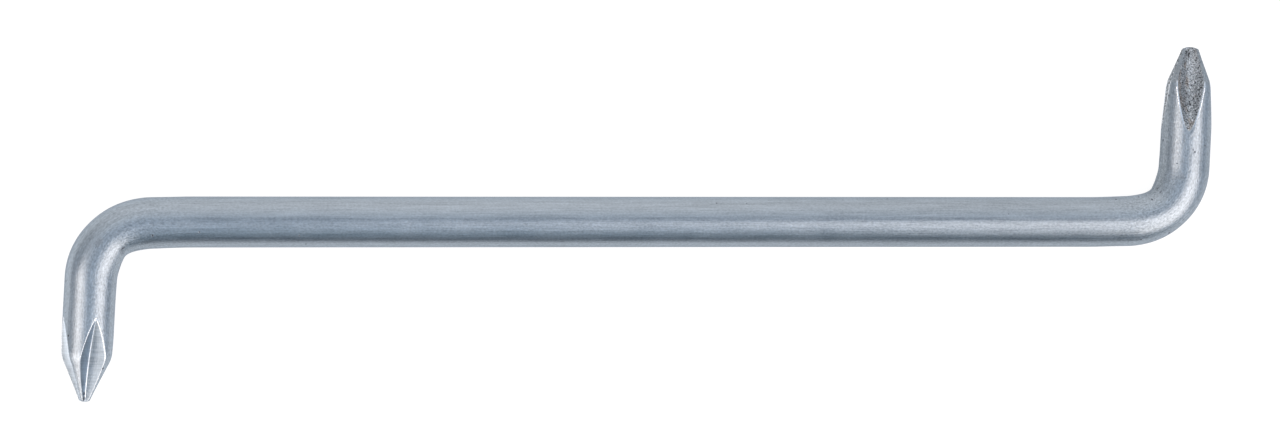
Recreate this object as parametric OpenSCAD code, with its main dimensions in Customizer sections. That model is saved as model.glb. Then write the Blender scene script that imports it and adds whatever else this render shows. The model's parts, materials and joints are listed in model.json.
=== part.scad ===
// Offset screwdriver, in millimetres.
// One round steel bar is bent at both ends, in opposite directions, and a cross tip is ground on each end:
// a small one (No. 1) and a large one (No. 2).
// The bar lies flat with +Z up, the shank along X and the large leg towards +Y.
// The origin is on the surface that the bar lies on, under the middle of the shank.

/* [Bar] */
// Diameter of the round bar
bar_d = 6; // [5:0.25:8]
// Length of the straight shank between the two bends
shank_l = 118; // [60:1:200]

/* [Small end] */
// Centreline radius of the bend at the small end
small_bend_r = 7; // [5:0.5:15]
// Angle that the bar turns through at the small end
small_bend_angle = 87; // [70:1:105]
// Length of the plain round leg between the bend and the small tip
small_leg_l = 4.1; // [1:0.05:30]
// Diameter of the blunt point of the small tip
small_point_d = 1.27; // [0.9:0.01:1.6]
// Half angle of the cone that leads to the small point
small_cone_angle = 25; // [20:0.5:30]
// Distance from the tip's axis to the flat bottom of a flute, at the small point
small_core_r = 0.35; // [0.25:0.01:0.42]
// Width of that flat bottom on the small tip
small_root_w = 0.2; // [0.05:0.05:0.4]
// Length of the small flutes, along the axis from the point to where they run out
small_flute_l = 9.75; // [7:0.25:10.5]
// Slope of the bottom of a small flute to the axis, at the point
small_root_angle = 1.3; // [0:0.1:6]
// Turn of the small flutes about the axis of the leg, from square to the flat of the bar
small_flute_turn = -12.5; // [-45:0.5:45]

/* [Large end] */
// Centreline radius of the bend at the large end
large_bend_r = 7; // [5:0.5:15]
// Angle that the bar turns through at the large end
large_bend_angle = 87; // [70:1:105]
// Length of the plain round leg between the bend and the large tip
large_leg_l = 3.6; // [1:0.05:30]
// Diameter of the blunt point of the large tip
large_point_d = 2.29; // [1.8:0.01:2.8]
// Half angle of the cone that leads to the large point
large_cone_angle = 24; // [20:0.5:30]
// Distance from the tip's axis to the flat bottom of a flute, at the large point
large_core_r = 0.55; // [0.4:0.01:0.8]
// Width of that flat bottom on the large tip
large_root_w = 0.6; // [0.1:0.05:0.8]
// Length of the large flutes, along the axis from the point to where they run out
large_flute_l = 10.35; // [7:0.25:12]
// Slope of the bottom of a large flute to the axis, at the point
large_root_angle = 3.1; // [0:0.1:6]
// Turn of the large flutes about the axis of the leg, from square to the flat of the bar
large_flute_turn = -8; // [-45:0.5:45]

/* [Flutes] */
// Angle between the two walls of a flute
flute_angle = 92; // [90.5:0.5:100]
// Round stretch of bar left between the run-out of the flutes and the plain leg
tip_land_l = 0.6; // [0.2:0.1:1.5]

/* [Hidden] */
$fn = 96;
bar_r = bar_d / 2;
flute_count = 4;
half_flute_angle = flute_angle / 2;
// Colour of the satin plating on the bar, and of the dull grind on the large tip
plated = [0.66, 0.70, 0.75];
ground = [0.58, 0.60, 0.62];
// Height of the dome on a blunt point, as a share of the point's diameter
point_dome_share = 0.11;
// How far the drawn stretch of a grinding wheel goes on past the point and past the run-out
rim_margin_angle = 5;

// What one end's tip is ground to: [point diameter, cone half angle, core radius, root width,
// flute length, root angle, turn of the flutes]
small_grind = [small_point_d, small_cone_angle, small_core_r, small_root_w,
               small_flute_l, small_root_angle, small_flute_turn];
large_grind = [large_point_d, large_cone_angle, large_core_r, large_root_w,
               large_flute_l, large_root_angle, large_flute_turn];

function point_r(grind) = grind[0] / 2;
function cone_angle(grind) = grind[1];
function core_r(grind) = grind[2];
function half_root_w(grind) = grind[3] / 2;
function flute_l(grind) = grind[4];
function root_angle(grind) = grind[5];
function flute_turn(grind) = grind[6];

// The dome that blunts the point: its height, and the radius of the ball that it is part of
function dome_h(grind) = point_dome_share * grind[0];
function dome_r(grind) = (pow(point_r(grind), 2) + pow(dome_h(grind), 2)) / (2 * dome_h(grind));
// Length of the cone between the round bar and the dome
function cone_l(grind) = (bar_r - point_r(grind)) / tan(cone_angle(grind));

// Length of a tip, from the plain leg to the point
function tip_l(grind) = tip_land_l + max(flute_l(grind), cone_l(grind) + dome_h(grind));

// The wheel's rim starts at the core at the point, with the root's slope, and rises to the bar's surface
// at the run-out. The chord joins those two places.
function chord_rise(grind) = bar_r - core_r(grind);
function chord(grind) = norm([flute_l(grind), chord_rise(grind)]);
function chord_angle(grind) = atan2(chord_rise(grind), flute_l(grind));
function wheel_r(grind) = chord(grind) / (2 * sin(chord_angle(grind) - root_angle(grind)));
// Distance from the axis to the wheel's centre, and how far past the point that centre lies
function wheel_off(grind) = core_r(grind) + wheel_r(grind) * cos(root_angle(grind));
function wheel_past(grind) = wheel_r(grind) * sin(root_angle(grind));
// Depth of the wheel's rim that is drawn, so that its back clears the bar by the core's radius
function rim_depth(grind) = bar_r + wheel_r(grind) - wheel_r(grind) * cos(root_angle(grind));
// Angle about the wheel's centre, from its place nearest the axis to the run-out
function run_out_angle(grind) = 2 * chord_angle(grind) - root_angle(grind);

// Puts its children at the small end of the shank, heading out along +X
module small_end() {
    rotate([0, 0, 180]) large_end() children();
}

// Puts its children at the large end of the shank, heading out along +X
module large_end() {
    translate([shank_l / 2, 0, bar_r]) children();
}

// Puts its children past a bend, heading along +X again in the turned frame
module past_bend(bend_r, bend_angle) {
    translate([0, bend_r, 0]) rotate([0, 0, bend_angle]) translate([0, -bend_r, 0]) children();
}

// A straight stretch of round bar along +X
module bar(length) {
    rotate([0, 90, 0]) cylinder(r = bar_r, h = length);
}

// A bent stretch of round bar that starts along +X and turns towards +Y
module bend(bend_r, bend_angle) {
    translate([0, bend_r, 0]) rotate([0, 0, -90])
        rotate_extrude(angle = bend_angle) translate([bend_r, 0]) circle(bar_r);
}

// The round blank of a tip along +Z, with its cone and its domed point at the top
module tip_blank(grind) {
    length = tip_l(grind);
    shoulder = length - dome_h(grind);
    union() {
        rotate_extrude() polygon([
            [0, 0],
            [bar_r, 0],
            [bar_r, shoulder - cone_l(grind)],
            [point_r(grind), shoulder],
            [0, shoulder],
        ]);
        // The dome, sunk into the cone by its own height
        intersection() {
            translate([0, 0, length - dome_r(grind)]) sphere(dome_r(grind));
            translate([0, 0, shoulder - dome_h(grind)]) cylinder(r = point_r(grind), h = 3 * dome_h(grind));
        }
    }
}

// The stretch of a V-rimmed wheel that cuts one flute, on the +X side of the axis, from before the point
// to past the run-out
module wheel_cut(grind) {
    r = wheel_r(grind);
    root = half_root_w(grind);
    inner_r = r - rim_depth(grind);
    back = root + rim_depth(grind) * tan(half_flute_angle);
    translate([wheel_off(grind), 0, tip_l(grind) + wheel_past(grind)])
        rotate([90, 0, 0])
        rotate([0, 0, 180 - rim_margin_angle])
        rotate_extrude(angle = run_out_angle(grind) + 2 * rim_margin_angle)
        polygon([[r, root], [inner_r, back], [inner_r, -back], [r, -root]]);
}

// A cross tip along +X: the blank with its four flutes ground in
module cross_tip(grind) {
    rotate([0, 90, 0]) difference() {
        tip_blank(grind);
        for (i = [0 : flute_count - 1])
            rotate([0, 0, flute_turn(grind) + i * 360 / flute_count]) wheel_cut(grind);
    }
}

module shank() {
    color(plated) translate([-shank_l / 2, 0, bar_r]) bar(shank_l);
}

module small_bend() {
    color(plated) small_end() bend(small_bend_r, small_bend_angle);
}

module small_leg() {
    color(plated) small_end() past_bend(small_bend_r, small_bend_angle) bar(small_leg_l);
}

module small_tip() {
    color(plated) small_end() past_bend(small_bend_r, small_bend_angle)
        translate([small_leg_l, 0, 0]) cross_tip(small_grind);
}

module large_bend() {
    color(plated) large_end() bend(large_bend_r, large_bend_angle);
}

module large_leg() {
    color(plated) large_end() past_bend(large_bend_r, large_bend_angle) bar(large_leg_l);
}

module large_tip() {
    color(ground) large_end() past_bend(large_bend_r, large_bend_angle)
        translate([large_leg_l, 0, 0]) cross_tip(large_grind);
}

shank();
small_bend();
small_leg();
small_tip();
large_bend();
large_leg();
large_tip();
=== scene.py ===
"""Offset screwdriver: one round, satin plated steel bar, bent at both ends, with a cross tip ground on each.

Seven pieces stand for the seven stretches of the bar in the frame, and meet face to face where those do.
All places are in metres in the frame: the bar lies flat, the shank along X, the large leg towards +Y.
"""
import json
from collections import namedtuple
from functools import lru_cache
from math import atan2, cos, pi, radians, sin, sqrt, tan

import bpy
from mathutils import Matrix, Vector

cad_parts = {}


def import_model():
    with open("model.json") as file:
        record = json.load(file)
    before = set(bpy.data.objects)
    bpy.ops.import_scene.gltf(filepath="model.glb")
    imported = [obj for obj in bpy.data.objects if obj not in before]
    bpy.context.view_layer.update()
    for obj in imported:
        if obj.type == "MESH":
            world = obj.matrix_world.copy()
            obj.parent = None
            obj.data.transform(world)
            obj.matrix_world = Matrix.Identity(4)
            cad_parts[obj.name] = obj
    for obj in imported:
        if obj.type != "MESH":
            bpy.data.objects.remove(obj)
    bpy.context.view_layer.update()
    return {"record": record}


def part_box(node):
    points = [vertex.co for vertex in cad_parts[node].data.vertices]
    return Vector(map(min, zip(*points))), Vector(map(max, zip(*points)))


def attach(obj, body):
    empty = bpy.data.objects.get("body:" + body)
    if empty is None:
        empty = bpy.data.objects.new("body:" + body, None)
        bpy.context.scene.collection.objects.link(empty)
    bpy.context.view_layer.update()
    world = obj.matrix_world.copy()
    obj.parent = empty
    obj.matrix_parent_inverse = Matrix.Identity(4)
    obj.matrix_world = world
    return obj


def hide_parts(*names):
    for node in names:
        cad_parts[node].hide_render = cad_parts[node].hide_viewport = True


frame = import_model()

MM = 0.001
UP = Vector((0, 0, 1))

# The bar, read from the frame
shank_low, shank_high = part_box("shank")
BAR_R = (shank_high.z - shank_low.z) / 2
SHANK_END = shank_high.x
AXIS_HEIGHT = shank_low.z + BAR_R
MOUNTS = {mount["name"]: mount for mount in frame["record"]["mounts"]}

# What the tips are ground to, as in the part's source. The last three values of a Grind are the scene's own:
# how far the edges and the root of a flute are rounded, and how wide the bright rim beside an edge is, from
# wear and a painted highlight
TIP_LAND = 0.6 * MM
POINT_DOME_SHARE = 0.11
HALF_FLUTE_ANGLE = radians(46)
Grind = namedtuple("Grind", "point_d cone_angle core_r root_w flute_l root_angle turn "
                            "edge_round root_round rim_w")
GRINDS = {
    "small": Grind(1.27 * MM, radians(25), 0.35 * MM, 0.2 * MM, 9.75 * MM, radians(1.3), radians(-12.5),
                   0.14 * MM, 0.12 * MM, 0.06 * MM),
    "large": Grind(2.29 * MM, radians(24), 0.55 * MM, 0.6 * MM, 10.35 * MM, radians(3.1), radians(-8),
                   0.2 * MM, 0.5 * MM, 0.3 * MM),
}
# How far the shoulder between cone and bar and the rim of the point are rounded
SHOULDER_ROUND = 0.3 * MM
POINT_ROUND = 0.06 * MM
# Half the angle that a flute takes up: at least a sliver, so that columns stay apart where none is ground
SLIVER_ANGLE = radians(1.2)
WIDEST_ANGLE = radians(44)
EDGE_HALVINGS = 30

# Depth below the blank, and below the bar, over which the finish of a flute and of a cone sets in
FLUTE_FADE = 0.05 * MM
CONE_FADE = 0.2 * MM
# Distance from the middle of a flute over which the painted highlight along its root fades
ROOT_FADE = 0.12 * MM
# What the materials of a tip know about each point: edge rubbed by wear and painted as a highlight, wall or
# root of a flute, cone, and the place across a flute, from -1 at one edge to 1 at the other
TIP_MASKS = ("worn_edge_highlight", "fluted", "rooted", "coned", "across")

# How finely the pieces are divided
BAR_COLUMNS = 96
SHANK_STEPS = 118
BEND_STEPS = 58
LEG_STEPS = 8
FLUTE_COLUMNS = 12
WING_COLUMNS = 8
TIP_RING_GAP = 0.1 * MM
POINT_RINGS = 12
# What is left open at the very point, as a share of the stretch where the rings close up
POINT_GAP_SHARE = 0.002
# Digits, in metres, to which points of one ring agree on their distance from the point
RING_DIGITS = 8
# Faces that meet at less than this angle are shaded as one
SMOOTH_ANGLE = radians(50)

# How the bar departs from true arcs at a bend: share of the bend, then how far its inside and its outside
# lie away from the bend's centre
BEND_FORM = (
    (-0.60, 0.00 * MM, 0.00 * MM),
    (-0.40, 0.00 * MM, 0.00 * MM),
    (-0.20, -0.06 * MM, -0.05 * MM),
    (0.00, -0.14 * MM, -0.08 * MM),
    (0.13, -0.15 * MM, -0.10 * MM),
    (0.27, -0.04 * MM, -0.07 * MM),
    (0.40, 0.15 * MM, -0.03 * MM),
    (0.52, 0.27 * MM, 0.01 * MM),
    (0.64, 0.12 * MM, 0.08 * MM),
    (0.80, -0.01 * MM, 0.15 * MM),
    (1.00, 0.02 * MM, 0.16 * MM),
    (1.20, 0.07 * MM, 0.16 * MM),
    (1.40, 0.07 * MM, 0.16 * MM),
)

End = namedtuple("End", "name start heading inside bend_r bend_angle centre bend_end tip_start "
                        "out outward point")


def end_of_bar(name, way):
    """Where one end of the bar runs: along the shank, round its bend, and out to its point."""
    heading = Vector((way, 0, 0))
    inside = UP.cross(heading)
    start = Vector((way * SHANK_END, 0, AXIS_HEIGHT))
    drive = MOUNTS[name + "_drive"]
    point = Vector(drive["pos_m"])
    out = Vector(drive["axis"]).normalized()
    angle = heading.angle(out)
    along = (point - start).dot(heading)
    across = (point - start).dot(inside)
    bend_r = (along * sin(angle) - across * cos(angle)) / (1 - cos(angle))
    centre = start + inside * bend_r
    outward = heading * sin(angle) - inside * cos(angle)
    bend_end = centre + outward * bend_r
    leg_l = MOUNTS[name + "_leg"]["dims"]["length_mm"] * MM - TIP_LAND
    return End(name, start, heading, inside, bend_r, angle, centre, bend_end, bend_end + out * leg_l, out,
               outward, point)


SMALL = end_of_bar("small", -1)
LARGE = end_of_bar("large", 1)


def set_mode(mode):
    bpy.ops.object.mode_set(mode=mode)


def new_disc(name, centre, across, heading, columns):
    """A round face of bar that looks along its heading, left in edit mode with the face selected."""
    if bpy.context.mode != "OBJECT":
        set_mode("OBJECT")
    bpy.ops.object.select_all(action="DESELECT")
    turn = Matrix((across, heading.cross(across), heading)).transposed()
    bpy.ops.mesh.primitive_circle_add(vertices=columns, radius=BAR_R, fill_type="NGON",
                                      location=centre, rotation=turn.to_euler())
    bpy.ops.object.transform_apply(location=True, rotation=True, scale=True)
    disc = bpy.context.object
    disc.name = disc.data.name = name
    set_mode("EDIT")
    bpy.ops.mesh.select_all(action="SELECT")
    return disc


def place_on_bar(spot):
    """Where a spot is on the bar: its end, how far past the shank and to the inside, and the way out."""
    end = LARGE if spot.x > 0 else SMALL
    past = (spot - end.start).dot(end.heading)
    if past <= 0:
        return end, past, (spot - end.start).dot(end.inside), -end.inside
    spoke = spot - end.centre
    spoke.z = 0
    turned = atan2(spoke.dot(end.heading), -spoke.dot(end.inside))
    if turned < end.bend_angle:
        return end, turned * end.bend_r, end.bend_r - spoke.length, spoke.normalized()
    past = end.bend_angle * end.bend_r + (spot - end.bend_end).dot(end.out)
    return end, past, -(spot - end.bend_end).dot(end.outward), end.outward


def bend_form(share):
    """How far the inside and the outside of the bar lie off, on a smooth curve through the bend's form."""
    if share <= BEND_FORM[1][0]:
        return BEND_FORM[0][1:]
    if share >= BEND_FORM[-2][0]:
        return BEND_FORM[-1][1:]
    step = max(i for i, row in enumerate(BEND_FORM) if row[0] <= share)
    before, near, far, after = BEND_FORM[step - 1:step + 3]
    span = far[0] - near[0]
    t = (share - near[0]) / span
    offsets = []
    for side in (1, 2):
        near_slope = (far[side] - before[side]) / (far[0] - before[0]) * span
        far_slope = (after[side] - near[side]) / (after[0] - near[0]) * span
        offsets.append(near[side] * (1 + 2 * t) * (1 - t) ** 2 + near_slope * t * (1 - t) ** 2
                       + far[side] * t * t * (3 - 2 * t) - far_slope * t * t * (1 - t))
    return offsets


def settle(piece):
    """Notes each point's place on the straightened bar, in millimetres, then forms the bends."""
    places = piece.data.attributes.new("bar_place", "FLOAT_VECTOR", "POINT")
    for vertex in piece.data.vertices:
        end, past, inward, outward = place_on_bar(vertex.co)
        way = end.heading.x
        place = Vector((way * (SHANK_END + past), way * inward, vertex.co.z - AXIS_HEIGHT))
        places.data[vertex.index].vector = place / MM
        inside_off, outside_off = bend_form(past / (end.bend_angle * end.bend_r))
        lean = inward / BAR_R
        vertex.co += outward * (inside_off * (1 + lean) + outside_off * (1 - lean)) / 2


def close_piece(piece):
    """Ends the work on a piece: it is settled and closed, looks outwards, and has smooth sides."""
    settle(piece)
    set_mode("EDIT")
    bpy.ops.mesh.select_all(action="SELECT")
    bpy.ops.mesh.fill_holes(sides=0)
    bpy.ops.mesh.select_all(action="SELECT")
    bpy.ops.mesh.normals_make_consistent(inside=False)
    set_mode("OBJECT")
    bpy.ops.object.shade_smooth_by_angle(angle=SMOOTH_ANGLE)
    return piece


def straight_bar(name, start, across, heading, stations, columns):
    """Round bar from start along a heading, with a ring of points at each station along it."""
    piece = new_disc(name, start, across, heading, columns)
    before = 0
    for station in stations:
        bpy.ops.mesh.extrude_region_move(TRANSFORM_OT_translate={"value": heading * (station - before)})
        before = station
    set_mode("OBJECT")
    return piece


def even_stations(length, steps):
    return [length * step / steps for step in range(1, steps + 1)]


def shank():
    """The straight middle of the bar."""
    start = Vector((-SHANK_END, 0, AXIS_HEIGHT))
    stations = even_stations(2 * SHANK_END, SHANK_STEPS)
    return close_piece(straight_bar("shank_bar", start, UP, Vector((1, 0, 0)), stations, BAR_COLUMNS))


def bend(end):
    """A bend, spun from the shank's end face."""
    piece = new_disc(end.name + "_bend_bar", end.start, UP, end.heading, BAR_COLUMNS)
    bpy.ops.mesh.spin(steps=BEND_STEPS, angle=end.bend_angle, center=end.centre, axis=-UP)
    set_mode("OBJECT")
    return close_piece(piece)


def leg_length(end):
    return (end.tip_start - end.bend_end).length


def leg(end):
    """The plain round stretch between a bend and its tip."""
    stations = even_stations(leg_length(end), LEG_STEPS)
    piece = straight_bar(end.name + "_leg_bar", end.bend_end, UP, end.out, stations, BAR_COLUMNS)
    return close_piece(piece)


def soft_min(a, b, blend):
    """The lesser of two sizes, with the corner between them rounded over a blend."""
    overlap = max(blend - abs(a - b), 0) / blend
    return min(a, b) - overlap * overlap * blend / 4


def blank_radius(grind, back):
    """Radius of a tip before its flutes are ground, at a distance back from its point."""
    point_r = grind.point_d / 2
    dome_h = POINT_DOME_SHARE * grind.point_d
    dome_r = (point_r ** 2 + dome_h ** 2) / (2 * dome_h)
    cone = point_r + (back - dome_h) * tan(grind.cone_angle)
    radius = soft_min(cone, BAR_R, SHOULDER_ROUND)
    if back < 2 * dome_h:
        radius = soft_min(radius, sqrt(back * (2 * dome_r - back)), POINT_ROUND)
    return radius


def flute_radius(grind, angle, back):
    """Distance from a tip's axis to the wall of a flute, at an angle from the flute's middle."""
    rise = BAR_R - grind.core_r
    chord = sqrt(grind.flute_l ** 2 + rise ** 2)
    wheel_r = chord / 2 / sin(atan2(rise, grind.flute_l) - grind.root_angle)
    wheel_off = grind.core_r + wheel_r * cos(grind.root_angle)
    from_wheel = back + wheel_r * sin(grind.root_angle)
    root = (wheel_off - sqrt(wheel_r ** 2 - from_wheel ** 2)) / cos(angle)
    # The V of the wheel's rim, carried on to its sharp edge
    sharp_r = wheel_r + grind.root_w / 2 / tan(HALF_FLUTE_ANGLE)
    slope = abs(sin(angle)) / tan(HALF_FLUTE_ANGLE)
    half_b = wheel_off * cos(angle) - sharp_r * slope
    square = cos(angle) ** 2 - slope ** 2
    rest = half_b ** 2 - square * (wheel_off ** 2 + from_wheel ** 2 - sharp_r ** 2)
    wall = (half_b - sqrt(max(rest, 0))) / square
    return -soft_min(-root, -wall, grind.root_round)


@lru_cache(maxsize=None)
def edge_angle(grind, back):
    """Angle from a flute's middle to its edge, or a sliver where no flute is ground."""
    near, far = 0, WIDEST_ANGLE
    radius = blank_radius(grind, back)
    for _ in range(EDGE_HALVINGS):
        middle = (near + far) / 2
        if flute_radius(grind, middle, back) < radius:
            near = middle
        else:
            far = middle
    return max(near, SLIVER_ANGLE)


def column_angle(column, edge):
    """Angle of a column of points, from a flute's middle to that of a wing, close together at the edge."""
    if column <= FLUTE_COLUMNS:
        return edge * (1 - cos(pi * column / FLUTE_COLUMNS)) / 2
    share = 1 - cos(pi / 2 * (column - FLUTE_COLUMNS) / WING_COLUMNS)
    return edge + (pi / 4 - edge) * share


def tip_stations(grind, length):
    """Distances along a tip, evenly up to the dome on its point, where they close up."""
    dome_zone = 2 * POINT_DOME_SHARE * grind.point_d
    even = even_stations(length - dome_zone, round((length - dome_zone) / TIP_RING_GAP))
    point_gap = dome_zone * POINT_GAP_SHARE
    dome = [length - max(dome_zone * (1 - ring / POINT_RINGS) ** 2, point_gap)
            for ring in range(1, POINT_RINGS + 1)]
    return even + dome


def tip(end):
    """A cross tip: round bar whose points are moved in to where the wheel leaves the steel."""
    grind = GRINDS[end.name]
    middle = UP * cos(grind.turn) - UP.cross(end.out) * sin(grind.turn)
    side = end.out.cross(middle)
    half_quarter = FLUTE_COLUMNS + WING_COLUMNS
    stations = tip_stations(grind, (end.point - end.tip_start).length)
    piece = straight_bar(end.name + "_tip_bar", end.tip_start, middle, end.out, stations, 8 * half_quarter)
    for mask in TIP_MASKS:
        piece.data.attributes.new(mask, "FLOAT", "POINT")
    wear_and_highlight, fluted, rooted, coned, across = (piece.data.attributes[mask].data for mask in TIP_MASKS)
    for vertex in piece.data.vertices:
        from_point = vertex.co - end.point
        back = round(-from_point.dot(end.out), RING_DIGITS)
        column = round(atan2(from_point.dot(side), from_point.dot(middle)) / (pi / 4) * half_quarter)
        quarter = round(column / (2 * half_quarter))
        step = column - quarter * 2 * half_quarter
        edge = edge_angle(grind, back)
        within = column_angle(abs(step), edge) * (1 if step > 0 else -1)
        blank = blank_radius(grind, back)
        flute = flute_radius(grind, within, back)
        radius = soft_min(blank, flute, grind.edge_round)
        angle = within + quarter * pi / 2
        spoke = middle * cos(angle) + side * sin(angle)
        vertex.co = end.point - end.out * back + spoke * radius
        off_edge = abs(blank - flute) / grind.edge_round
        if abs(within) > edge and flute_radius(grind, 0, back) < blank:
            off_edge = (abs(within) - edge) * blank / grind.rim_w
        wear_and_highlight[vertex.index].value = max(1 - off_edge, 0)
        in_flute = min(max((blank - flute) / FLUTE_FADE, 0), 1)
        fluted[vertex.index].value = in_flute
        rooted[vertex.index].value = in_flute * max(1 - abs(radius * sin(within)) / ROOT_FADE, 0)
        coned[vertex.index].value = min(max((BAR_R - blank) / CONE_FADE, 0), 1)
        across[vertex.index].value = min(max(within / edge, -1), 1)
    return close_piece(piece)


# Materials, on each point's place along the straightened bar, in millimetres

class Recipe:
    """Adds nodes to a tree and links them, so that a finish reads as a list of steps."""

    def __init__(self, tree):
        self.tree = tree

    def add(self, kind, inputs, **settings):
        node = self.tree.nodes.new("ShaderNode" + kind)
        for name, value in settings.items():
            setattr(node, name, value)
        self.feed(node, inputs)
        return node

    def feed(self, node, inputs):
        for name, value in inputs.items():
            if isinstance(value, bpy.types.NodeSocket):
                self.tree.links.new(value, node.inputs[name])
            else:
                node.inputs[name].default_value = value

    def math(self, operation, a, b):
        return self.add("Math", {0: a, 1: b}, operation=operation).outputs[0]

    def plus(self, *terms):
        total = terms[0]
        for term in terms[1:]:
            total = self.math("ADD", total, term)
        return total

    def times(self, a, b):
        return self.math("MULTIPLY", a, b)

    def fade(self, value, start, stop):
        """0 at the start, 1 at the stop, and a smooth curve between."""
        settings = {"Value": value, "From Min": start, "From Max": stop}
        return self.add("MapRange", settings, interpolation_type="SMOOTHSTEP").outputs[0]

    def grain(self, place, per_mm, detail=2.0):
        """Noise about 0, with so many grains in a millimetre along, to the side and up."""
        stretched = self.add("VectorMath", {0: place, 1: per_mm}, operation="MULTIPLY").outputs[0]
        noise = self.add("TexNoise", {"Vector": stretched, "Scale": 1.0, "Detail": detail})
        return self.math("SUBTRACT", noise.outputs[0], 0.5)

    def mix(self, share, a, b):
        return self.add("Mix", {"Factor": share, "A": a, "B": b}, data_type="RGBA").outputs["Result"]

    def shaded(self, color, shade):
        return self.add("VectorMath", {0: color, "Scale": shade}, operation="SCALE").outputs[0]

    def attribute(self, name, output):
        return self.add("Attribute", {}, attribute_name=name).outputs[output]

    def group(self, made, inputs):
        return self.add("Group", inputs, node_tree=made).outputs


def new_group(name, inputs, outputs):
    """An empty node group, with its recipe, its inputs by name and the node that takes its outputs."""
    made = bpy.data.node_groups.new(name, "ShaderNodeTree")
    for way, sockets in (("INPUT", inputs), ("OUTPUT", outputs)):
        for socket, kind in sockets.items():
            made.interface.new_socket(socket, in_out=way, socket_type="NodeSocket" + kind)
    entry = made.nodes.new("NodeGroupInput")
    leave = made.nodes.new("NodeGroupOutput")
    return made, Recipe(made), entry.outputs, leave


# Colours of the finishes, and how rough the plating is
PLATING = (0.366, 0.413, 0.462)
PLATING_EDGE = (0.58, 0.62, 0.67, 1)
PLATING_ROUGHNESS = 0.34
PIT_COLOR = (0.12, 0.13, 0.15, 1)
# Edges rubbed bright by wear, and brightened further as a painted highlight
WORN_HIGHLIGHT_COLOR = (0.93, 0.96, 1.0, 1)
GROUND_FLUTE = (0.35, 0.41, 0.47)
BLASTED_STEEL = (0.36, 0.39, 0.42)
RUSTY_STEEL = (0.325, 0.315, 0.31)
DARK_SPECK = (0.03, 0.03, 0.035, 1)
BRIGHT_SPECK = (0.8, 0.83, 0.87, 1)
PALE_CONE = (0.31, 0.355, 0.40, 1)

# Where the bends begin to be worked, and where they are fully so, from the middle of the shank
WORKED_FROM = SHANK_END / MM - 6
WORKED_FULLY = SHANK_END / MM + 3
# Where the painted tones of the bar set in and where they are full: along the bar from the middle of the
# shank, and for the painted shade on the inner side first how far aside, then where along the bar it sets in
# and where it lessens
PAINTED_SHADE_HALF = (0, 35)
PAINTED_LIGHT_LEG = (-66, -70)
PAINTED_SHADOW_ASIDE = (2.1, 2.8)
PAINTED_SHADOW_FROM = (60, 65)
PAINTED_SHADOW_LESS = (68, 76)
# How far aside the seam from the drawing runs, and how much it wanders with the lines
SEAM_ASIDE = 0.38
SEAM_WANDER = 0.25
# How strongly each pattern of the bar shades it, and how far it stands up, in millimetres
LINES_SHADE, LINES_HEIGHT = 0.22, 0.004
FINE_LINES_SHADE, FINE_LINES_HEIGHT = 0.55, 0.006
GRAINS_SHADE, GRAINS_HEIGHT = 1.3, 0.03
CLOUDS_SHADE = 0.16
SEAM_SHADE = 0.12


def worked_share(r, along):
    """0 on the shank, 1 at the bends and past them."""
    return r.fade(r.math("ABSOLUTE", along, 0), WORKED_FROM, WORKED_FULLY)


def drawn_bar_group():
    """Lines from the drawing of the bar, clouds in its plating, and a grain that is coarser at the bends."""
    made, r, given, leave = new_group("drawn_bar", {"Place": "Vector"},
                                      {"Shade": "Float", "Roughness": "Float", "Height": "Float"})
    place = given["Place"]
    axes = r.add("SeparateXYZ", {0: place}).outputs
    worked = worked_share(r, axes["X"])
    # The outer side of the small bend stays as smooth as the shank
    smooth = r.times(r.fade(axes["X"], -WORKED_FROM, -WORKED_FULLY), r.fade(axes["Y"], -0.5, 1.5))
    coarse = r.plus(r.times(worked, r.plus(0.42, r.times(smooth, -0.3))), 0.58)
    # The upper side of the shank is the smoothest, and the half towards the large end is a little darker, as
    # painted shade
    unworked = r.math("SUBTRACT", 1, worked)
    coarse = r.plus(coarse, r.times(r.times(r.fade(axes["Y"], -0.5, 1.0), unworked), -0.18))
    painted_shade_half = r.times(r.fade(axes["X"], *PAINTED_SHADE_HALF), unworked)
    # Painted light makes the small leg a little paler, and painted shade darkens the inner side of the large
    # bend, standing in for the floor's shadow that it reflects
    painted_light_leg = r.fade(axes["X"], *PAINTED_LIGHT_LEG)
    painted_shadow_side = r.times(r.fade(axes["Y"], *PAINTED_SHADOW_ASIDE), r.fade(axes["X"], *PAINTED_SHADOW_FROM))
    painted_shadow_side = r.times(painted_shadow_side, r.plus(1, r.times(r.fade(axes["X"], *PAINTED_SHADOW_LESS), -0.35)))
    tone = r.plus(r.times(painted_shade_half, -0.06), r.times(painted_light_leg, 0.06), r.times(painted_shadow_side, -0.28))
    lines = r.grain(place, (0.05, 2.0, 2.0), 3.0)
    fine_lines = r.grain(place, (0.22, 7.0, 7.0))
    clouds = r.grain(place, (0.25, 0.5, 0.5), 3.0)
    grains = r.grain(place, (3.5, 5.5, 5.5))
    off_seam = r.math("ABSOLUTE", r.plus(axes["Y"], -SEAM_ASIDE, r.times(lines, SEAM_WANDER)), 0)
    on_top = r.times(r.fade(axes["Z"], 0, 1), unworked)
    seam = r.times(r.fade(off_seam, 0.32, 0.05), on_top)
    drawn = r.times(lines, r.plus(LINES_SHADE, r.times(worked, -0.1)))
    rough_grains = r.times(grains, coarse)
    shade = r.plus(1, drawn, r.times(fine_lines, FINE_LINES_SHADE), r.times(clouds, CLOUDS_SHADE),
                   r.times(rough_grains, GRAINS_SHADE), r.times(seam, -SEAM_SHADE), tone)
    height = r.plus(r.times(rough_grains, GRAINS_HEIGHT), r.times(fine_lines, FINE_LINES_HEIGHT),
                    r.times(lines, LINES_HEIGHT))
    r.feed(leave, {"Shade": shade, "Roughness": r.plus(r.times(clouds, 0.12), r.times(lines, 0.08)),
                   "Height": height})
    return made


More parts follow.
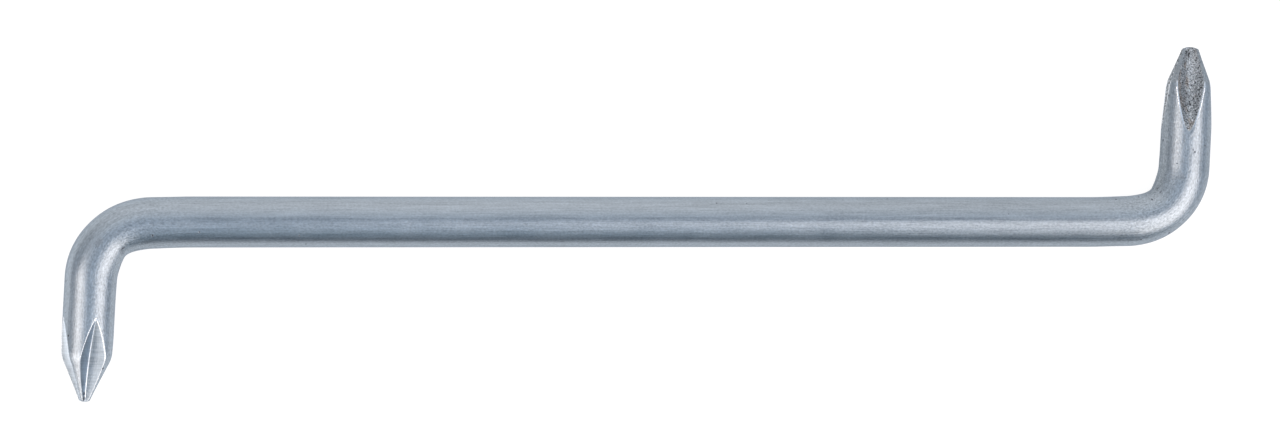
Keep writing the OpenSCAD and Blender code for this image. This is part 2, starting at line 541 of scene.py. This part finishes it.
def pits_group():
    """Tiny pits, here and there, more of them where the bar is bent."""
    made, r, given, leave = new_group("pits", {"Place": "Vector"}, {"Mask": "Float", "Height": "Float"})
    place = given["Place"]
    cells = r.add("TexVoronoi", {"Vector": place, "Scale": 1.1})
    chance = r.add("SeparateXYZ", {0: cells.outputs["Color"]}).outputs
    worked = worked_share(r, r.add("SeparateXYZ", {0: place}).outputs["X"])
    size = r.times(r.fade(r.plus(chance["X"], r.times(worked, 0.07)), 0.88, 1.04), 0.16)
    mask = r.fade(r.math("SUBTRACT", cells.outputs["Distance"], size), 0.03, -0.04)
    mask = r.times(mask, r.fade(size, 0.005, 0.03))
    r.feed(leave, {"Mask": mask, "Height": r.times(mask, -0.02)})
    return made


# Marks on the upper side of the bar: place along and aside, half length and half width, and how dark each is
Mark = namedtuple("Mark", "along aside half_length half_width dark")
MARKS = (
    Mark(-64.15, -1.94, 0.60, 0.10, 0.9),
    Mark(-64.60, -2.20, 0.45, 0.40, 0.35),
    Mark(-65.60, 0.74, 0.55, 0.40, 0.3),
    Mark(-83.10, 0.08, 0.20, 0.14, 0.9),
    Mark(-83.70, 0.08, 0.28, 0.16, 0.9),
    Mark(64.95, 2.70, 0.28, 0.07, 0.7),
    Mark(64.80, 2.26, 0.38, 0.07, 0.7),
    Mark(68.15, 0.85, 0.50, 0.50, 0.3),
    Mark(69.86, -0.05, 0.08, 0.07, 0.7),
    Mark(71.48, -0.43, 0.12, 0.11, 0.8),
    Mark(71.70, -0.20, 0.10, 0.09, 0.8),
    Mark(72.30, -1.78, 0.11, 0.10, 0.9),
)


def marks_group():
    """The nick, scuffs and single pits that the bar has at its bends."""
    made, r, given, leave = new_group("marks", {"Place": "Vector"}, {"Mask": "Float", "Height": "Float"})
    axes = r.add("SeparateXYZ", {0: given["Place"]}).outputs
    ragged = r.times(r.grain(given["Place"], (6, 6, 6)), 2.5)
    mask = 0.0
    for mark in MARKS:
        along = r.times(r.plus(axes["X"], -mark.along), 1 / mark.half_length)
        aside = r.times(r.plus(axes["Y"], -mark.aside), 1 / mark.half_width)
        apart = r.plus(r.times(along, along), r.times(aside, aside), ragged)
        mask = r.math("MAXIMUM", mask, r.times(r.fade(apart, 1.3, 0.2), mark.dark))
    mask = r.times(mask, r.fade(axes["Z"], 0, 0.5))
    r.feed(leave, {"Mask": mask, "Height": r.times(mask, -0.03)})
    return made


# Where the bright edges of the large flutes set in, past their run-out
RUN_OUT_FROM = (SHANK_END + LARGE.bend_angle * LARGE.bend_r + leg_length(LARGE) + TIP_LAND) / MM
RUN_OUT_TO = RUN_OUT_FROM + 2
# Where the middle of the upper large flute is palest, and where the dark end of the point begins
PALEST_AT = RUN_OUT_FROM + GRINDS["large"].flute_l / MM - 3.4
DARK_FROM = PALEST_AT + 1.8
# How strongly the grit shades bare steel, and how far it stands up, in millimetres
GRIT_SHADE, GRIT_HEIGHT = 4.2, 0.05
# Aside from the grit's pattern, so that the specks do not follow it
SPECKS_SHIFT = (7, 3, 5)


def blasted_group():
    """Bare steel that grit has left dull, with dark, rusty and bright specks."""
    made, r, given, leave = new_group("blasted", {"Place": "Vector"},
                                      {"Color": "Color", "Roughness": "Float", "Height": "Float"})
    place = given["Place"]
    axes = r.add("SeparateXYZ", {0: place}).outputs
    clouds = r.grain(place, (0.5, 1.0, 1.0))
    grit = r.grain(place, (7.0, 7.0, 7.0), 3.0)
    specks_place = r.add("VectorMath", {0: place, 1: SPECKS_SHIFT}).outputs[0]
    specks = r.grain(specks_place, (4.5, 4.5, 4.5), 1.0)
    middle = r.fade(r.math("ABSOLUTE", axes["Y"], 0), 1.0, 0.4)
    pale = r.times(middle, r.fade(r.math("ABSOLUTE", r.plus(axes["X"], -PALEST_AT), 0), 2.4, 1.0))
    tone = r.plus(1, r.times(pale, 0.22), r.times(r.fade(axes["X"], DARK_FROM, DARK_FROM + 1), -0.2))
    grit_shade = r.times(grit, GRIT_SHADE)
    steel = r.shaded(BLASTED_STEEL, r.plus(tone, r.times(clouds, 0.6), grit_shade))
    rust = r.shaded(RUSTY_STEEL, r.plus(1, grit_shade))
    rusty = r.fade(r.plus(clouds, r.times(axes["Y"], 0.12)), 0.06, 0.2)
    steel = r.mix(r.times(rusty, r.fade(axes["Z"], 0.3, 0.9)), steel, rust)
    steel = r.mix(r.fade(specks, 0.10, 0.18), steel, DARK_SPECK)
    steel = r.mix(r.fade(specks, -0.16, -0.22), steel, BRIGHT_SPECK)
    r.feed(leave, {"Color": steel, "Roughness": r.plus(0.5, r.times(clouds, 0.15)),
                   "Height": r.plus(r.times(grit, GRIT_HEIGHT), r.times(specks, -0.04))})
    return made


def grind_lines_group():
    """The ticks that a grinding wheel leaves across a flute."""
    made, r, given, leave = new_group("grind_lines", {"Place": "Vector"},
                                      {"Shade": "Float", "Height": "Float"})
    ticks = r.grain(given["Place"], (5.0, 0.4, 0.4))
    r.feed(leave, {"Shade": r.plus(1, r.times(ticks, 0.7)), "Height": r.times(ticks, 0.012)})
    return made


DRAWN_BAR = drawn_bar_group()
PITS = pits_group()
MARKED = marks_group()
BLASTED = blasted_group()
GRIND_LINES = grind_lines_group()


def material(name):
    """A new material, with the recipe for its nodes."""
    made = bpy.data.materials.new(name)
    made.use_nodes = True
    return made, Recipe(made.node_tree)


def plated(r, place):
    """Colour, roughness and height of the satin plating."""
    drawn = r.group(DRAWN_BAR, {"Place": place})
    pits = r.group(PITS, {"Place": place})
    marks = r.group(MARKED, {"Place": place})
    dark = r.math("MAXIMUM", pits["Mask"], marks["Mask"])
    color = r.mix(dark, r.shaded(PLATING, drawn["Shade"]), PIT_COLOR)
    roughness = r.plus(PLATING_ROUGHNESS, drawn["Roughness"], r.times(dark, 0.3))
    return color, roughness, r.plus(drawn["Height"], pits["Height"], marks["Height"])


def metal(r, color, roughness, height):
    """Feeds the metal shader: heights are in millimetres."""
    shader = r.tree.nodes["Principled BSDF"]
    bump = r.add("Bump", {"Height": height, "Distance": MM})
    r.feed(shader, {"Base Color": color, "Metallic": 1.0, "Roughness": roughness, "Normal": bump.outputs[0],
                    "Specular Tint": PLATING_EDGE})


def satin_plating():
    """The plating of the whole bar but its tips."""
    made, r = material("satin_plating")
    metal(r, *plated(r, r.attribute("bar_place", "Vector")))
    return made


def small_tip_grind():
    """Plating over ground flutes, bright along the edges from wear and a painted highlight, with a painted
    highlight along the roots and painted light and shade on the walls.
    """
    made, r = material("small_tip_grind")
    place = r.attribute("bar_place", "Vector")
    fluted = r.attribute("fluted", "Fac")
    # Edges rubbed bright by wear, and brightened further as a painted highlight
    wear_and_highlight = r.fade(r.attribute("worn_edge_highlight", "Fac"), 0.25, 0.8)
    wear_and_highlight = r.times(wear_and_highlight, r.plus(r.times(r.fade(r.attribute("coned", "Fac"), 0.9, 0.1), 0.65), 0.35))
    # A painted highlight along the root of each flute, in the same bright colour as the edges
    wear_and_highlight = r.math("MAXIMUM", wear_and_highlight, r.fade(r.attribute("rooted", "Fac"), 0.3, 0.9))
    color, roughness, height = plated(r, place)
    lines = r.group(GRIND_LINES, {"Place": place})
    # Painted light and shade on a flute: one wall paler towards the root, the other darker there, and darker
    # beside one edge
    across = r.attribute("across", "Fac")
    paler = r.times(r.fade(across, 1, 0.6), r.fade(across, 0, 0.05))
    darker = r.times(r.fade(across, -0.9, -0.15), r.fade(across, 0, -0.05))
    beside_edge = r.fade(across, 0.85, 1)
    tone = r.plus(lines["Shade"], r.times(paler, 0.5), r.times(darker, -0.25), r.times(beside_edge, -0.15))
    ground = r.shaded(GROUND_FLUTE, tone)
    color = r.mix(wear_and_highlight, r.mix(fluted, color, ground), WORN_HIGHLIGHT_COLOR)
    color = r.mix(r.group(MARKED, {"Place": place})["Mask"], color, PIT_COLOR)
    roughness = r.plus(roughness, r.times(fluted, 0.13), r.times(wear_and_highlight, -0.14))
    metal(r, color, roughness, r.plus(height, r.times(fluted, lines["Height"])))
    return made


def large_tip_grind():
    """Flutes left dull by grit and a paler cone, with edges rubbed bright by wear and a painted highlight
    where the flutes meet the plating.
    """
    made, r = material("large_tip_grind")
    place = r.attribute("bar_place", "Vector")
    fluted = r.attribute("fluted", "Fac")
    coned = r.attribute("coned", "Fac")
    cone = r.fade(r.plus(coned, r.grain(place, (4, 4, 4))), 0.3, 0.7)
    bare = r.math("MAXIMUM", fluted, cone)
    axes = r.add("SeparateXYZ", {0: place}).outputs
    # Edges rubbed bright by wear, with a painted highlight on them
    wear_and_highlight = r.fade(r.attribute("worn_edge_highlight", "Fac"), 0.3, 0.7)
    wear_and_highlight = r.times(r.times(wear_and_highlight, r.fade(coned, 0.9, 0.3)), r.fade(axes["X"], RUN_OUT_FROM, RUN_OUT_TO))
    wear_and_highlight = r.times(wear_and_highlight, 0.85)
    color, roughness, height = plated(r, place)
    blasted = r.group(BLASTED, {"Place": place})
    pale = r.mix(0.7, blasted["Color"], PALE_CONE)
    ground = r.mix(fluted, pale, blasted["Color"])
    color = r.mix(wear_and_highlight, r.mix(bare, color, ground), WORN_HIGHLIGHT_COLOR)
    bare = r.times(bare, r.math("SUBTRACT", 1, wear_and_highlight))
    roughness = r.plus(r.times(roughness, r.math("SUBTRACT", 1, bare)), r.times(blasted["Roughness"], bare),
                       r.times(wear_and_highlight, -0.24))
    metal(r, color, roughness, r.plus(height, r.times(bare, blasted["Height"])))
    return made


# The stage: floor, lamps, world and camera

FLOOR_SIZE = 6.0
FLOOR_COLOR = (0.8, 0.8, 0.8, 1)
# What the floor shows as a background: a glow that is nearly white, and a dark surface that takes the shadow
FLOOR_GLOW = 0.9
FLOOR_SHADOW = (0.2, 0.2, 0.2, 1)
# From where it mirrors the room, between straight down (0) and along the floor (1), and how blurred
FLOOR_SHEEN_FROM = 0.6
FLOOR_SHEEN_ROUGHNESS = 0.1


def floor():
    """A white floor that keeps a faint shadow, and mirrors the room where metal sees it at a low angle."""
    bpy.ops.object.select_all(action="DESELECT")
    bpy.ops.mesh.primitive_plane_add(size=FLOOR_SIZE, location=(0, 0, 0))
    plane = bpy.context.object
    plane.name = "floor"
    made, r = material("white_floor")
    nodes = made.node_tree.nodes
    nodes.remove(nodes["Principled BSDF"])
    path = r.add("LightPath", {}).outputs
    plain = r.add("BsdfDiffuse", {"Color": FLOOR_COLOR}).outputs[0]
    shadow = r.add("BsdfDiffuse", {"Color": FLOOR_SHADOW}).outputs[0]
    glow = r.add("Emission", {"Strength": FLOOR_GLOW}).outputs[0]
    white = r.add("AddShader", {0: shadow, 1: glow}).outputs[0]
    mirror = r.add("BsdfGlossy", {"Roughness": FLOOR_SHEEN_ROUGHNESS}).outputs[0]
    low_angle = r.add("LayerWeight", {}).outputs["Facing"]
    sheen = r.add("MapRange", {"Value": low_angle, "From Min": FLOOR_SHEEN_FROM}).outputs[0]
    off_metal = r.times(sheen, path["Is Glossy Ray"])
    background = r.add("MixShader", {0: off_metal, 1: white, 2: mirror}).outputs[0]
    # The rays that show a background: straight from the camera, off metal or through glass
    shown = path["Is Camera Ray"]
    for ray in ("Is Glossy Ray", "Is Transmission Ray"):
        shown = r.math("MAXIMUM", shown, path[ray])
    surface = r.add("MixShader", {0: shown, 1: plain, 2: background}).outputs[0]
    r.feed(nodes["Material Output"], {"Surface": surface})
    plane.data.materials.append(made)


# Where a soft box stands and which way its back looks, in degrees over from straight up towards +X and +Y
Lamp = namedtuple("Lamp", "name shape over distance back roll width height radiance")
LAMP_COLOR = (1.0, 0.85, 0.74)
LAMPS = (
    Lamp("left_soft_box", "ELLIPSE", (-46, -28), 3.0, (-46, -28), 0, 2.7, 4.4, 2.3),
    Lamp("right_soft_box", "RECTANGLE", (44.8, -22.1), 0.612, (28.3, -27.8), 26, 0.498, 0.698, 2.0),
)


def way_over(over_x, over_y):
    """The direction that lies so many degrees over from straight up, towards +X and towards +Y."""
    over = Vector((over_x, over_y, 0))
    return over.normalized() * sin(radians(over.length)) + UP * cos(radians(over.length))


def lamp(settings):
    """A soft box over the bar, which the camera does not see."""
    back = way_over(*settings.back)
    across = Vector((0, 1, 0)).cross(back).normalized()
    level = Matrix((across, back.cross(across), back)).transposed()
    turn = level @ Matrix.Rotation(radians(settings.roll), 3, "Z")
    data = bpy.data.lights.new(settings.name, "AREA")
    data.shape = settings.shape
    data.size, data.size_y = settings.width, settings.height
    area = settings.width * settings.height * (pi / 4 if settings.shape == "ELLIPSE" else 1)
    data.energy = settings.radiance * pi * area
    data.color = LAMP_COLOR
    made = bpy.data.objects.new(settings.name, data)
    bpy.context.scene.collection.objects.link(made)
    made.location = Vector((0, 0, AXIS_HEIGHT)) + way_over(*settings.over) * settings.distance
    made.rotation_euler = turn.to_euler()
    made.visible_camera = False


# Tones of the room, from its -Y side (0) over straight up (0.5) to the +Y side (1)
ROOM_TONES = (
    (0.0, (0.04, 0.065, 0.10, 1)),
    (0.075, (0.22, 0.32, 0.395, 1)),
    (0.25, (0.52, 0.63, 0.75, 1)),
    (0.5, (0.50, 0.59, 0.70, 1)),
    (0.65, (0.58, 0.66, 0.76, 1)),
    (0.75, (0.87, 0.91, 0.96, 1)),
    (1.0, (1.12, 1.10, 1.10, 1)),
)
# How much dimmer the room is at its -X and +X sides, and how much the -X side is dimmer still
ROOM_SIDES_DIM = 0.3
ROOM_LEFT_DIM = 0.12


def world():
    """A room that is pale on the +Y side, where the sweep rises, and dim on the others."""
    room = bpy.data.worlds.new("room")
    bpy.context.scene.world = room
    room.use_nodes = True
    r = Recipe(room.node_tree)
    direction = r.add("TexCoord", {}).outputs["Generated"]
    axes = r.add("SeparateXYZ", {0: direction}).outputs
    tones = r.add("ValToRGB", {"Fac": r.plus(r.times(axes["Y"], 0.5), 0.5)})
    stops = tones.color_ramp.elements
    for _ in ROOM_TONES[2:]:
        stops.new(0.5)
    for made, (position, color) in zip(stops, ROOM_TONES):
        made.position, made.color = position, color
    sideways = r.times(axes["X"], axes["X"])
    shade = r.plus(1, r.times(sideways, -ROOM_SIDES_DIM), r.times(axes["X"], ROOM_LEFT_DIM))
    r.feed(room.node_tree.nodes["Background"], {"Color": r.shaded(tones.outputs["Color"], shade)})


# The camera, as fitted to the photograph: its turn, its distance, the width of its field where the bar lies,
# and how far to the left of the middle of the bar and above it the camera aims
CAMERA_TURN = radians(10)
CAMERA_DISTANCE = 716 * MM
FIELD_WIDTH = 152.4 * MM
AIM_LEFT = 0.738 * MM
AIM_UP = 0.238 * MM
SENSOR_WIDTH = 36.0
CAMERA_CLIP = (0.01, 20)


def camera():
    """The photograph's camera: above the bar, turned a little towards the small end."""
    back = Vector((-sin(CAMERA_TURN), 0, cos(CAMERA_TURN)))
    up = Vector((0, 1, 0))
    right = up.cross(back)
    aim = Vector((0, 0, AXIS_HEIGHT)) - right * AIM_LEFT + up * AIM_UP
    data = bpy.data.cameras.new("camera")
    data.sensor_fit = "HORIZONTAL"
    data.sensor_width = SENSOR_WIDTH
    data.lens = SENSOR_WIDTH * CAMERA_DISTANCE / FIELD_WIDTH
    data.clip_start, data.clip_end = CAMERA_CLIP
    made = bpy.data.objects.new("camera", data)
    bpy.context.scene.collection.objects.link(made)
    turn = Matrix((right, up, back)).transposed().to_4x4()
    made.matrix_world = Matrix.Translation(aim + back * CAMERA_DISTANCE) @ turn
    bpy.context.scene.camera = made


def dress(piece, node, finish):
    """Puts a piece in its node's place, with its finish."""
    piece.data.materials.clear()
    piece.data.materials.append(finish)
    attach(piece, "root")
    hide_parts(node)


plating = satin_plating()
tip_finishes = {"small": small_tip_grind(), "large": large_tip_grind()}
dress(shank(), "shank", plating)
for end in (SMALL, LARGE):
    dress(bend(end), end.name + "_bend", plating)
    dress(leg(end), end.name + "_leg", plating)
    dress(tip(end), end.name + "_tip", tip_finishes[end.name])

floor()
for settings in LAMPS:
    lamp(settings)
world()
camera()
bpy.context.scene.view_settings.view_transform = "Standard"
